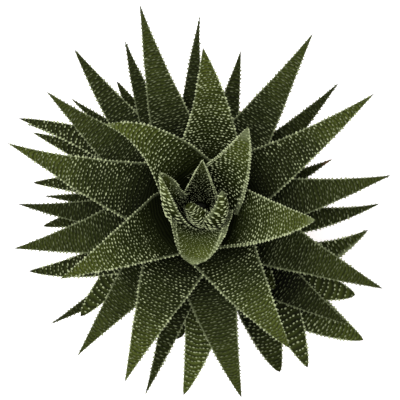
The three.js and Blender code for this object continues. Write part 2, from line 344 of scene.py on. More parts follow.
curled = dict(heart, cup=(0.6, 0.5), taper=0.5, handle=0.52)
inner = dict(
    kind="inner", arch=8, thick=4.2, cup=(0.45, 0.15), taper=1, width=20, dots=1.35, long=1, rows=1.3,
    columns=1, fade=0.25, shine=1.05, vigour=1.15,
)
upper = dict(
    kind="upper", arch=3, thick=4.6, cup=(0.4, 0.1), taper=1, width=21, dots=1.2, long=1.1, rows=1,
    columns=0.95, fade=0.36, shine=0.95, vigour=0.95,
)
middle = dict(
    kind="middle", arch=3, thick=4.8, cup=(0.35, 0.06), taper=1, width=23, dots=1.15, long=1.2, rows=1,
    columns=1, fade=0.33, shine=0.8, vigour=0.9,
)
lower = dict(
    kind="lower", arch=5, thick=4.6, cup=(0.3, 0.04), taper=1.05, width=20.5, dots=1, long=1.9, rows=0.9,
    columns=1.15, fade=0.24, shine=0.46, vigour=0.74,
)
base = dict(
    kind="base", arch=9, thick=3.8, cup=(0.3, 0.02), taper=1, width=15, dots=1.1, long=1.6, rows=1.1,
    columns=1.2, fade=0.3, shine=0.55, vigour=0.5,
)
offset = dict(
    kind="offset", arch=10, thick=3.4, cup=(0.3, 0.05), taper=0.75, width=14, dots=1.35, long=1.2,
    rows=1.4, columns=1.1, fade=0.2, shine=0.85, vigour=0.6,
)


def leaf(kind, bearing, reach, height, **own):
    """One leaf of a kind

    bearing and reach place its point about the stem, height is over the floor, sweep bends it sideways. It
    can also have pitch, heading and roll, each at the stem and at the point; handle, how far it keeps its
    first and last direction; rims and right_rims, where rows of teeth stand across it, and rim_from, where
    they begin; pale, its left and right margin's width and where its point turns pale; dry, a withered point.
    """
    return {**kind, "bearing": bearing, "reach": reach, "height": height, "sweep": 0, **own}


# The main rosette, from the growing tip down
ROSETTE = (
    leaf(curled, 163, 4.6, 113, pitch=(66, 15), heading=(262, 128), roll=(0, 175), width=10, taper=0.36,
         vigour=0.36, back=fine_dash),
    leaf(curled, 38.5, 9.3, 117, pitch=(62, 22), heading=(268, 460), roll=(0, -165), width=13.5,
         taper=0.6, vigour=0.5, pale=(0, 0.1, 0.985)),
    leaf(heart, 140, 17.5, 127, pitch=(44, 68), heading=(218, 108), roll=(-5, 56), width=14, taper=0.62,
         handle=0.5, cup=(0.9, 1.25), vigour=0.95, pale=(0.05, 0.12, 0.95)),
    leaf(heart, 87, 15.6, 126, pitch=(62, 76), width=13.5, vigour=0.75, right_rims=(0.99, 0.8),
         pale=(0, 0.06, 0.98)),
    leaf(heart, 262, 19, 124, pitch=(58, 50), heading=(270, 258), width=23, taper=0.3, rims=(0.99, 0.8),
         vigour=1.2, long=0.7, dots=1.0, rows=0.8, shine=0.8, waning=0, pale=(0.15, 0.1, 0.94)),
    leaf(inner, 59.5, 30.2, 137, heading=(45, 76), arch=0, width=22.5, taper=0.9, rims=(0.99, 0.88),
         rim_from=0.4, pale=(0, 0.1, 0.88)),
    leaf(inner, 139, 41.4, 128, heading=(131, 176), arch=16, width=25, fade=0.42,
         pale=(0.04, 0.04, 0.96)),
    leaf(upper, 354, 37.6, 130, sweep=11, taper=0.8, width=25, fade=0.42, right_rims=(0.99, 0.92),
         pale=(0.04, 0.04, 0.96)),
    leaf(upper, 207, 52, 120, sweep=-2, width=23, fade=0.38),
    leaf(upper, 89, 51.8, 132, sweep=13, taper=0.93, width=25.5),
    leaf(middle, 302.5, 56, 111, sweep=5, taper=0.85, width=24),
    leaf(middle, 161.5, 69.8, 101, sweep=-6.5, taper=1.1, width=23.5),
    leaf(middle, 33.2, 71.5, 102, sweep=6, taper=1.05, width=20),
    leaf(middle, 246.7, 64.5, 106, width=25, sweep=2),
    leaf(lower, 106.5, 74, 92, sweep=-4, width=19),
    leaf(lower, 282.3, 68, 91, sweep=7, taper=0.9, width=23),
    leaf(lower, 57, 72.5, 91, width=20.4, sweep=2),
    leaf(lower, 9.5, 68, 89, sweep=7),
    leaf(lower, 192.5, 67, 88, sweep=-5, width=24.5),
    leaf(lower, 336, 70, 90, sweep=2, taper=0.95, width=22),
    leaf(lower, 143, 68, 85, sweep=-4.5),
    leaf(lower, 230.5, 68, 86, sweep=2, width=22),
    leaf(base, 90, 68, 83, sweep=-8, width=13, taper=1.1, **smooth),
    leaf(base, 179, 65, 80, sweep=-9, width=16, **smooth),
    leaf(base, 114.2, 65, 80, sweep=-9, **smooth),
    leaf(base, 253.7, 70, 78, sweep=-6, width=15),
    leaf(base, 128.5, 72, 79, sweep=-6, width=17, taper=0.9),
    leaf(base, 41.9, 66.5, 79, sweep=6, width=14, **smooth),
    leaf(base, 200.5, 65.5, 76, sweep=-20, width=18, taper=0.8, **spotted),
    leaf(base, 1.2, 64.5, 77, sweep=18, width=16),
    leaf(base, 222.5, 58, 76, sweep=9, taper=0.6, width=16, **banded),
    leaf(base, 154, 72.5, 75, sweep=13, width=14, taper=0.8, **spotted),
    leaf(base, 75.4, 58, 76, sweep=4, width=15.6, shine=0.4, vigour=0.45),
    leaf(base, 265, 68, 73, sweep=-15, taper=0.75, width=20.5, **{**spotted, "vigour": 1.3}),
    leaf(base, 187, 57, 73, sweep=6, taper=0.75, width=15),
    leaf(base, 156, 66, 73, sweep=3, width=15, taper=0.85, **spotted),
    leaf(base, 20, 51, 72, sweep=9, width=12, dry=1, **smooth),
    leaf(base, 140, 61, 73, sweep=3, width=13),
    leaf(base, 218, 69, 70, sweep=-10, width=13, **smooth),
    leaf(base, 171.8, 61, 71, sweep=9, width=14, taper=0.75, **spotted),
    leaf(base, 123.5, 54.5, 72, sweep=-2, taper=0.8, width=14),
    leaf(base, 154.5, 70, 69, sweep=12, width=13.5, **spotted),
    leaf(base, 176, 57, 69, width=12),
    leaf(base, 260.5, 48.5, 68, sweep=-8, taper=0.5, width=13, **smooth),
)
# The offset, the same way about its own stem
OFFSET_ROSETTE = (
    leaf(offset, 200, 4, 79, width=7),
    leaf(offset, 60, 8, 79, width=9),
    leaf(offset, 310, 12, 80, width=10),
    leaf(offset, 327, 40, 77, sweep=2, width=15, taper=0.9, **smooth),
    leaf(offset, 297.5, 42.5, 74, sweep=-6, width=17.5, **banded),
    leaf(offset, 342.5, 38.5, 74, sweep=5, width=17, taper=0.6, **banded),
    leaf(offset, 325, 49, 70, sweep=11, width=22, taper=0.75, rows=1.2, vigour=0.95),
    leaf(offset, 284, 41, 69, sweep=8, width=18.5, taper=0.65, rows=1.2, shine=0.65, vigour=0.45),
    leaf(offset, 15.8, 43.5, 70, sweep=21, width=15, taper=0.9, rows=1.15, long=1.8, columns=1.3,
         pale=(0.03, 0.25, 1)),
)


def spread(along, taper, at_stem):
    """How wide or thick a leaf is, as a share of its most"""
    if along >= WIDEST_AT:
        return (max(1 - along, 0) / (1 - WIDEST_AT)) ** taper
    return 1 - (1 - at_stem) * (1 - along / WIDEST_AT) ** 2


def direction(heading, pitch):
    turn, rise = math.radians(heading), math.radians(pitch)
    return Vector((math.cos(turn) * math.cos(rise), math.sin(turn) * math.cos(rise), math.sin(rise)))


def across_from(heading, tangent):
    """The two directions across a line that heads one way: level to its left, and up out of it"""
    turn = math.radians(heading)
    side = Vector((-math.sin(turn), math.cos(turn), 0))
    side = (side - tangent * side.dot(tangent)).normalized()
    return side, tangent.cross(side)


def smooth_step(value, low, high):
    share = min(max((value - low) / (high - low), 0), 1)
    return share * share * (3 - 2 * share)


class Blade:
    """One leaf's skin in millimetres: a midrib curve, and a cross-section that changes towards the point"""

    def __init__(self, root, habit, seed):
        self.habit = habit
        self.seed = seed
        flat = direction(habit["bearing"], 0)
        point = root + flat * habit["reach"]
        point.z = habit["height"]
        bearing, sweep = habit["bearing"], habit["sweep"]
        self.heading = habit.get("heading", (bearing - sweep, bearing + sweep))
        slope = math.degrees(math.atan2(point.z - root.z, habit["reach"]))
        pitch = habit.get("pitch", (slope + habit["arch"], slope - habit["arch"]))
        handle = habit.get("handle", HANDLE) * (point - root).length
        self.knots = (
            root,
            root + direction(self.heading[0], pitch[0]) * handle,
            point - direction(self.heading[1], pitch[1]) * handle,
            point,
        )
        self.ticks = [0.0]
        last = root
        for i in range(1, TICKS + 1):
            at = self.midrib(i / TICKS)
            self.ticks.append(self.ticks[-1] + (at - last).length)
            last = at
        self.length = self.ticks[-1]

    def midrib(self, along):
        a, b, c, d = self.knots
        t, s = along, 1 - along
        return a * (s * s * s) + b * (3 * s * s * t) + c * (3 * s * t * t) + d * (t * t * t)

    def tangent(self, along):
        a, b, c, d = self.knots
        t, s = along, 1 - along
        return ((b - a) * (s * s) + (c - b) * (2 * s * t) + (d - c) * (t * t)).normalized()

    def share_at(self, distance):
        """How far along the midrib's own measure a distance from the stem is"""
        target = min(max(distance, 0), self.length)
        low = next((i for i in range(TICKS) if self.ticks[i + 1] >= target), 0)
        gap = self.ticks[low + 1] - self.ticks[low]
        return (low + (target - self.ticks[low]) / max(gap, 1e-9)) / TICKS

    def distance(self, along):
        """How far from the stem a share of the midrib is"""
        low = min(int(along * TICKS), TICKS - 1)
        return self.ticks[low] + (along * TICKS - low) * (self.ticks[low + 1] - self.ticks[low])

    def half(self, along):
        wave = 1 + 0.045 * noise.noise(Vector((along * 7, self.seed, 3.1)))
        return spread(along, self.habit["taper"], SHEATH_WIDTH) * self.habit["width"] / 2 * wave

    def skin(self, along, across, above):
        """A point of the skin; across runs from -1 to 1, above is 1 on the inner face and -1 on the outer"""
        tangent = self.tangent(along)
        heading = self.heading[0] + (self.heading[1] - self.heading[0]) * along
        side, up = across_from(heading, tangent)
        start, end = self.habit.get("roll", (0, 0))
        roll = math.radians(start + (end - start) * along)
        side, up = side * math.cos(roll) + up * math.sin(roll), up * math.cos(roll) - side * math.sin(roll)
        half = self.half(along)
        thick = spread(along, BODY_TAPER, SHEATH_THICKNESS) * self.habit["thick"]
        cup = self.habit["cup"][0] + (self.habit["cup"][1] - self.habit["cup"][0]) * along
        size = abs(across)
        if above > 0:
            level = thick * BODY_ABOVE * (1 - size * size)
        else:
            level = -thick * (1 - BODY_ABOVE) * (1 - size**1.75)
        at = self.midrib(along) + side * (half * across) + up * (cup * half * across * across + level)
        ripple = noise.noise(Vector((at.x * 0.16, at.y * 0.16, self.seed * 7.7)))
        return at + up * (0.35 * ripple * min(half / 6, 1))

    def place(self, along, across, above):
        """A point of the skin with its directions: across, along and out"""
        step = 0.004
        low, high = max(along - step, 0), min(along + step, 0.999)
        run = (self.skin(high, across, above) - self.skin(low, across, above)).normalized()
        left, right = max(across - 0.03, -1), min(across + 0.03, 1)
        side = (self.skin(along, right, above) - self.skin(along, left, above)).normalized()
        out = run.cross(side).normalized() * above
        return self.skin(along, across, above), side, run, out


def finish_mesh(name, bm, *skins):
    """A piece from a closed bmesh in millimetres: faces outwards, smooth, wearing its skins"""
    # Which way is out is judged by stored normals, and its points have moved since
    bm.normal_update()
    bmesh.ops.recalc_face_normals(bm, faces=bm.faces)
    bmesh.ops.transform(bm, matrix=Matrix.Scale(MM, 4), verts=bm.verts)
    mesh = bpy.data.meshes.new(name)
    bm.to_mesh(mesh)
    bm.free()
    for skin in skins:
        mesh.materials.append(skin)
    mesh.polygons.foreach_set("use_smooth", [True] * len(mesh.polygons))
    piece = bpy.data.objects.new(name, mesh)
    bpy.context.scene.collection.objects.link(piece)
    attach(piece, "root")
    return piece


def stand_in(piece, node):
    """Hides the node of the frame that the piece stands in for; the piece itself is not used"""
    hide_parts(node)


def sleeve(curve, sides, rings, place_corner):
    """A closed sleeve: a sphere whose poles go to a curve's ends, its rings placed by a rule"""
    bm = bmesh.new()
    bmesh.ops.create_uvsphere(bm, u_segments=sides, v_segments=rings, radius=1)
    for vert in bm.verts:
        along = math.acos(min(max(-vert.co.z, -1), 1)) / math.pi
        turn = math.atan2(vert.co.y, vert.co.x)
        if along < POLE or along > 1 - POLE:
            vert.co = curve(round(along))
        else:
            vert.co = place_corner(along, turn)
    return bm


def paleness(habit, along, across):
    """How pale the skin is by its margins and at its point"""
    left, right, point = habit.get("pale", (0.03, 0.03, 1))
    width = max(left if across > 0 else right, 0.001)
    rim = smooth_step(abs(across), 1 - 2 * width, 1 - width / 2) * smooth_step(along, 0.1, 0.4)
    return max(rim, smooth_step(along, point - 0.04, min(point + 0.04, 1)) if point < 1 else 0)


def row_wave(blade, across, distance):
    """How far a row of tubercles wanders along the leaf, in millimetres"""
    aside = across * blade.half(blade.share_at(distance))
    return WAVE * noise.noise(Vector((aside * WAVE_PITCH, distance * WAVE_PITCH, blade.seed * 3.3)))


def leaf_mesh(blade, gap):
    """The leaf's body, with attributes that its skin's colours follow"""
    bm = bmesh.new()
    bmesh.ops.create_uvsphere(bm, u_segments=LEAF_SIDES, v_segments=LEAF_RINGS, radius=1)
    names = ("along", "vigour", "ridge", "aside", "pale", "dry")
    layers = {name: bm.verts.layers.float.new(name) for name in names}
    habit = blade.habit
    for vert in bm.verts:
        along = math.acos(min(max(-vert.co.z, -1), 1)) / math.pi
        turn = math.atan2(vert.co.y, vert.co.x)
        across, above = math.cos(turn), 1 if math.sin(turn) >= 0 else -1
        if along < POLE or along > 1 - POLE:
            vert.co = blade.midrib(round(along))
            across = 0
        else:
            vert.co = blade.skin(along, across, above)
        distance = blade.distance(along)
        vert[layers["along"]] = along
        vert[layers["vigour"]] = habit["vigour"]
        bend = ROW_BEND * across * across - row_wave(blade, across, distance)
        vert[layers["ridge"]] = (distance + bend) / (gap / MM * habit["rows"])
        vert[layers["aside"]] = across * blade.half(along) * 0.5
        vert[layers["pale"]] = paleness(habit, along, across)
        vert[layers["dry"]] = habit.get("dry", 0)
    return bm


def tone_of(shine, steps):
    """Which tone a brightness gives, counted up from the dimmest"""
    return sum(shine >= step for step in steps)


def face_tubercles(blade, gap, rng, above, tones):
    """Rows of tubercles on the inner face, above 1, or on the outer one, above -1"""
    habit = blade.habit
    face = habit if above > 0 else {**habit, **habit.get("back", BACK)}
    rows = gap / MM * face["rows"]
    columns = COLUMN_GAP * face["columns"]
    start = face["fade"]
    distance = rows * math.ceil(blade.length * start * 0.7 / rows)
    row = 0
    while distance < blade.length * 0.98:
        half = blade.half(blade.share_at(distance))
        count = max(int(2 * half * 0.94 / columns), 1)
        shift = 0.25 if row % 2 else -0.25
        for i in range(count):
            across = ((i + 0.5 + shift) / count * 2 - 1) * ROW_SPAN + rng.uniform(-0.25, 0.25) / max(half, 1)
            wave = row_wave(blade, across, distance) + rng.uniform(-0.2, 0.2) * face.get("tidy", 1)
            along = blade.share_at(distance + wave - ROW_BEND * across * across)
            if abs(across) > ROW_SPAN or along > 0.985 or along < 0.01:
                continue
            # Near the foot the tubercles fade out and grow smaller, as on the leaf, and also take dimmer
            # tones, which is painted shade. Near the margins they take brighter tones, which is a painted
            # highlight
            strength = smooth_step(along, start * 0.7, start * 1.4) * rng.uniform(0.6, 1.15)
            strength *= 1 - face.get("waning", 0.4) * smooth_step(along, 0.72, 0.98)
            strength *= 0.85 + 0.3 * smooth_step(abs(across), 0.3, 0.9)
            if strength < 0.12:
                continue
            size = face["dots"] * (0.6 + 0.4 * min(strength, 1)) * rng.uniform(0.72, 1.22)
            at, side, run, out = blade.place(along, across, above)
            long = face["long"] * rng.uniform(0.8, 1.3)
            axes = (side * DOT_LONG * size * long, run * DOT_WIDE * size, out * DOT_WIDE * size)
            tones[tone_of(strength * face["shine"], FACE_TONES)].append((at, *axes))
        distance += rows
        row += 1


def rim_tubercles(blade, rng, edge, rim, tones):
    """Teeth along one margin, edge 1 or -1, at a share of the half width"""
    habit = blade.habit
    distance = blade.length * habit.get("rim_from", 0.13)
    while distance < blade.length * 0.985:
        along = blade.share_at(distance)
        at, side, run, out = blade.place(along, edge * rim, 1)
        size = rng.uniform(0.7, 1.25) * (0.65 + 0.35 * smooth_step(along, 0.12, 0.5))
        size *= 1 - 0.45 * smooth_step(along, 0.8, 1)
        tone = 1 + tone_of(habit["shine"] * rng.uniform(0.75, 1.3), RIM_TONES)
        # Teeth near the foot never take the brightest tone: painted shade at the leaf's foot
        if along < 0.3:
            tone = min(tone, 2)
        lean = (side * edge * 0.9 + run * 0.45 + out * 0.15) * TOOTH * size
        tones[tone].append((at, run * TOOTH_LONG * size, out * TOOTH_WIDE * size, lean))
        distance += TOOTH_GAP * rng.uniform(0.75, 1.25)


def tubercle_places(blade, gap, rng):
    """Where the tubercles stand on both faces and along the margins, by tone"""
    tones = tuple([] for _ in TONES)
    for above in (1, -1):
        face_tubercles(blade, gap, rng, above, tones)
    rims = blade.habit.get("rims", (0.99,))
    for edge in (-1, 1):
        for rim in blade.habit.get("right_rims", rims) if edge < 0 else rims:
            rim_tubercles(blade, rng, edge, rim, tones)
    return tones


def packed(grow_shape):
    """A shape in a fresh bmesh, whose elements keep their order when they are duplicated"""
    first = bmesh.new()
    grow_shape(first)
    between = bpy.data.meshes.new("between")
    first.to_mesh(between)
    first.free()
    bm = bmesh.new()
    bm.from_mesh(between)
    bpy.data.meshes.remove(between)
    for elements in (bm.verts, bm.edges, bm.faces):
        elements.ensure_lookup_table()
    return bm


def scattered(places, grow_shape):
    """A bmesh with a copy of a small shape at every place: it is doubled up, then each copy is moved"""
    bm = packed(grow_shape)
    kinds = (bm.verts, bm.edges, bm.faces)
    sizes = [len(elements) for elements in kinds]
    copies = 1
    while copies < len(places):
        more = min(copies, len(places) - copies)
        geometry = [part for elements, size in zip(kinds, sizes) for part in elements[: size * more]]
        bmesh.ops.duplicate(bm, geom=geometry)
        copies += more
        for elements in kinds:
            elements.ensure_lookup_table()
    for i, (at, x, y, z) in enumerate(places):
        for vert in bm.verts[i * sizes[0] : (i + 1) * sizes[0]]:
            vert.co = at + x * vert.co.x + y * vert.co.y + z * vert.co.z
    return bm


def bead(bm):
    """A tubercle: a low bead with six sides, half sunk in the skin"""
    bmesh.ops.create_uvsphere(bm, u_segments=6, v_segments=2, radius=1)


def tubercle_piece(name, tones, skins):
    """All the tubercles of one leaf, each wearing its tone"""
    piece = finish_mesh(name, scattered([place for tone in tones for place in tone], bead), *skins)
    indices = [i for i, tone in enumerate(tones) for _ in range(BEAD_FACES * len(tone))]
    piece.data.polygons.foreach_set("material_index", indices)
    return piece


# Place of the first leaf's root, how far down each next one starts, and the leaves
CROWN = (STEM_X, STEM_Y, CROWN_TOP, LEAF_STEP, ROSETTE)
OFFSET_CROWN = (OFFSET_X, OFFSET_Y, OFFSET_TOP, OFFSET_STEP, OFFSET_ROSETTE)


class LeafOperator:
    """Builds each leaf of one kind with its tubercles"""

    kind = ""
    fresh = 1.0
    brightness = 1.0

    def execute(self, context):
        kind, look = self.kind, context.scene.haworthia_leaf
        skin = leaf_skin(f"{kind} leaf skin", look, self.fresh)
        tones = tubercle_skins(f"{kind} tubercle", look, self.brightness)
        x, y, top, step, leaves = OFFSET_CROWN if kind == "offset" else CROWN
        number = 0
        for i, habit in enumerate(leaves):
            if habit["kind"] != kind:
                continue
            number += 1
            node = f"{kind}_leaf_{number}"
            seed = i * 1.37 + (0.5 if kind == "offset" else 0)
            blade = Blade(Vector((x, y, top - i * step)), habit, seed)
            rng = random.Random(f"{kind}{number}")
            body = finish_mesh(f"{node}_skin", leaf_mesh(blade, look.tubercle_gap), skin)
            dots = tubercle_piece(f"{node}_tubercles", tubercle_places(blade, look.tubercle_gap, rng), tones)
            for piece in (body, dots):
                stand_in(piece, node)
        return {"FINISHED"}


class HAWORTHIA_OT_heart_leaves(LeafOperator, bpy.types.Operator):
    """Build the youngest leaves, which curl round the growing tip"""

    bl_idname = "haworthia.heart_leaves"
    bl_label = "Heart leaves"
    kind = "heart"
    brightness = 1.15


class HAWORTHIA_OT_inner_leaves(LeafOperator, bpy.types.Operator):
    """Build the two leaves next to the heart"""

    bl_idname = "haworthia.inner_leaves"
    bl_label = "Inner leaves"
    kind = "inner"


class HAWORTHIA_OT_upper_leaves(LeafOperator, bpy.types.Operator):
    """Build the upper whorl"""

    bl_idname = "haworthia.upper_leaves"
    bl_label = "Upper leaves"
    kind = "upper"


class HAWORTHIA_OT_middle_leaves(LeafOperator, bpy.types.Operator):
    """Build the middle whorl"""

    bl_idname = "haworthia.middle_leaves"
    bl_label = "Middle leaves"
    kind = "middle"
    fresh = 0.8


class HAWORTHIA_OT_lower_leaves(LeafOperator, bpy.types.Operator):
    """Build the lower whorl"""

    bl_idname = "haworthia.lower_leaves"
    bl_label = "Lower leaves"
    kind = "lower"
    fresh = 0.55


class HAWORTHIA_OT_base_leaves(LeafOperator, bpy.types.Operator):
    """Build the oldest leaves"""

    bl_idname = "haworthia.base_leaves"
    bl_label = "Base leaves"
    kind = "base"
    fresh = 0.3


class HAWORTHIA_OT_offset_leaves(LeafOperator, bpy.types.Operator):
    """Build the offset's leaves"""

    bl_idname = "haworthia.offset_leaves"
    bl_label = "Offset leaves"
    kind = "offset"
    fresh = 0.5


# Stem, potting mix and pot


SOIL_TOP, SOIL_DIP = 54.2, 1.0
SOIL_RADIUS, SOIL_ROWS, SOIL_SIDES = 31, 44, 112
STEM_FOOT, STEM_RADIUS = 44.0, 6.5
# How many sides and rings the stem's meshes have, and the first and last radius of its branch and roots
TRUNK_MESH, BRANCH_MESH, ROOT_MESH = (40, 64), (20, 36), (14, 30)
BRANCH_RADII, ROOT_RADII = (3.6, 2.6), (1.9, 0.95)
WALL, POT_FLOOR = 3.5, 4.5
BAND_HEIGHT, BAND_STEP, BAND_SLANT = 13.0, 1.8, 0.6
WALL_ROWS, COLLAR_ROWS, INNER_ROWS, POT_SIDES = 36, 8, 24, 96
EDGE_ROUNDING = 0.55
DRAIN_RADIUS, DRAIN_RING, DRAIN_COUNT = 3.2, 12.0, 3
# Bearing, reach and lowest height of each root
ROOTS = ((20, 15, 16), (95, 17, 20), (170, 14, 13), (235, 18, 24), (290, 13, 12))


def through(points, along):
    """A smooth curve through points"""
    last = len(points) - 1
    i = min(int(along * last), last - 1)
    t = along * last - i
    a, b, c, d = (points[min(max(i + k, 0), last)] for k in (-1, 0, 1, 2))
    bend = (2 * a - 5 * b + 4 * c - d) * (t * t) + (3 * b - a - 3 * c + d) * (t * t * t)
    return (2 * b + (c - a) * t + bend) * 0.5


def rod(points, heading, radii, sides, rings):
    """A knobbly round rod along a curve that heads one way"""

    def place_corner(along, turn):
        tangent = (through(points, min(along + 0.01, 1)) - through(points, along - 0.01)).normalized()
        side, up = across_from(heading, tangent)
        at = through(points, along)
        knobs = 1 + 0.09 * noise.noise(at * 0.5 + side * math.cos(turn))
        radius = radii[0] + (radii[1] - radii[0]) * along
        radius *= (1 - (2 * along - 1) ** 16) ** 0.5 * knobs
        return at + (side * math.cos(turn) + up * math.sin(turn)) * radius

    return sleeve(lambda end: points[-1 if end else 0], sides, rings, place_corner)


def trunk():
    """The short stem, ringed with the scars of leaves that are gone"""
    bottom, top = STEM_FOOT, CROWN_TOP + 2

    def place_corner(along, turn):
        height = bottom + (top - bottom) * along
        radius = STEM_RADIUS * (0.55 + 0.45 * smooth_step(top - height, 0, 13))
        radius *= 0.7 + 0.3 * smooth_step(along, 0, 0.25)
        radius *= (1 - (2 * along - 1) ** 10) ** 0.5
        scar = math.sin(height * 3.1 + turn) * math.sin(turn * 3 + height * 1.1)
        lump = noise.noise(Vector((math.cos(turn) * 2, math.sin(turn) * 2, height * 0.4)))
        radius += 0.28 * scar + 0.3 * lump
        return Vector((STEM_X + radius * math.cos(turn), STEM_Y + radius * math.sin(turn), height))

    return sleeve(lambda end: Vector((STEM_X, STEM_Y, top if end else bottom)), *TRUNK_MESH, place_corner)


def bark():
    """Woody skin, turned near-black green by painted shade where it goes up among the leaves"""
    skin = Shader("stem skin")
    place = skin.place()
    height = skin.add("ShaderNodeSeparateXYZ", {}, place, out=2) / MM
    grain = skin.noise(skin.stretched(place, (1.0, 1.0, 2.6)), 420.0)
    blotch = skin.noise(place, 130.0)
    colour = skin.blend(blotch.between(0.35, 0.65), (0.17, 0.125, 0.062), (0.27, 0.235, 0.13))
    colour = skin.blend(grain.between(0.5, 0.72) * 0.6, colour, (0.07, 0.048, 0.026))
    # Painted shade: the stem turns near black where it goes up among the leaves
    colour = skin.blend(height.between(60.0, 76.0), colour, (0.004, 0.005, 0.0015))
    skin.wear(Base_Color=colour, Roughness=0.62 + grain * 0.3, Specular_IOR_Level=0.2)
    skin.bump(grain + blotch * 0.5, 0.7, 0.4 * MM)
    return skin.material


class HAWORTHIA_OT_stem(bpy.types.Operator):
    """Build the stem with its branch and roots"""

    bl_idname = "haworthia.stem"
    bl_label = "Stem"

    def execute(self, context):
        skin = bark()
        foot = Vector((STEM_X, STEM_Y, 0))
        branch = [
            foot + Vector((0, 0, 50)),
            Vector((9, -12, 52)),
            Vector((16.5, -19.5, 58)),
            Vector((OFFSET_X, OFFSET_Y, OFFSET_TOP)),
        ]
        bodies = {"stem_trunk": trunk(), "stem_branch": rod(branch, -48, BRANCH_RADII, *BRANCH_MESH)}
        for i, (turn, reach, depth) in enumerate(ROOTS):
            out = direction(turn, 0)
            points = [
                foot + out * 2 + Vector((0, 0, STEM_FOOT + 3)),
                foot + out * 8 + Vector((0, 0, STEM_FOOT - 2)),
                foot + out * reach + Vector((0, 0, (STEM_FOOT - 4 + depth) / 2)),
                foot + out * (reach - 2) + Vector((0, 0, depth)),
            ]
            bodies[f"stem_root_{i + 1}"] = rod(points, turn, ROOT_RADII, *ROOT_MESH)
        for name, bm in bodies.items():
            stand_in(finish_mesh(name, bm, skin), "stem")
        return {"FINISHED"}


def turned(profile, steps):
    """A closed body turned from a profile of radius and height"""
    bm = bmesh.new()
    corners = [bm.verts.new((r, 0, z)) for r, z in profile]
    edges = [bm.edges.new(pair) for pair in zip(corners, corners[1:])]
    about = dict(cent=(0, 0, 0), axis=(0, 0, 1), angle=TURN)
    bmesh.ops.spin(bm, geom=corners + edges, steps=steps, use_merge=True, **about)
    bmesh.ops.remove_doubles(bm, verts=bm.verts, dist=1e-4)
    bmesh.ops.recalc_face_normals(bm, faces=bm.faces)
    return bm


def round_off(bm, corners, offset):
    """Rounds a turned body's edges at some corners of its profile"""

    def ring(vert):
        return round(math.hypot(vert.co.x, vert.co.y), 1), round(vert.co.z, 1)

    wanted = {(round(r, 1), round(z, 1)) for r, z in corners}
    edges = [e for e in bm.edges if ring(e.verts[0]) == ring(e.verts[1]) and ring(e.verts[0]) in wanted]
    bmesh.ops.bevel(bm, geom=edges, offset=offset, segments=3, profile=0.5, affect="EDGES", material=-1)


def clay(look):
    """Fired clay: blotched, finely gritty, with a pale bloom of salts low down and under the band"""
    skin = Shader("clay")
    place = skin.place()
    height = skin.add("ShaderNodeSeparateXYZ", {}, place, out=2) / MM
    cloud, mottle = skin.noise(place, 38.0), skin.noise(place, 260.0)
    grit = skin.noise(place, 2400.0, detail=2.0)
    turned_line = skin.noise(skin.stretched(place, (20.0, 20.0, 900.0)), 1.0, detail=2.0)
    colour = skin.blend(cloud.between(0.35, 0.65), look.clay_colour, (0.34, 0.125, 0.06))
    colour = skin.blend(mottle.between(0.5, 0.75) * 0.35, colour, (0.55, 0.25, 0.14))
    low = 1 - height.between(2.0, 26.0)
    under_band = height.between(40.0, 49.0) * (1 - height.between(49.0, 54.0))
    bloom = (cloud * 0.55 + mottle * 0.45 + (low + under_band) * 0.16).between(0.53, 0.72) * 0.5
    colour = skin.blend(bloom, colour, (0.62, 0.49, 0.40))
    colour = skin.blend(1.0, colour, skin.grey(0.86 + grit * 0.16 + turned_line * 0.12), how="MULTIPLY")
    skin.wear(Base_Color=colour, Roughness=0.78 + bloom * 0.2, Specular_IOR_Level=0.22)
    skin.bump(grit * 0.35 + turned_line + mottle * 0.3, 0.6, 0.25 * MM)
    return skin.material


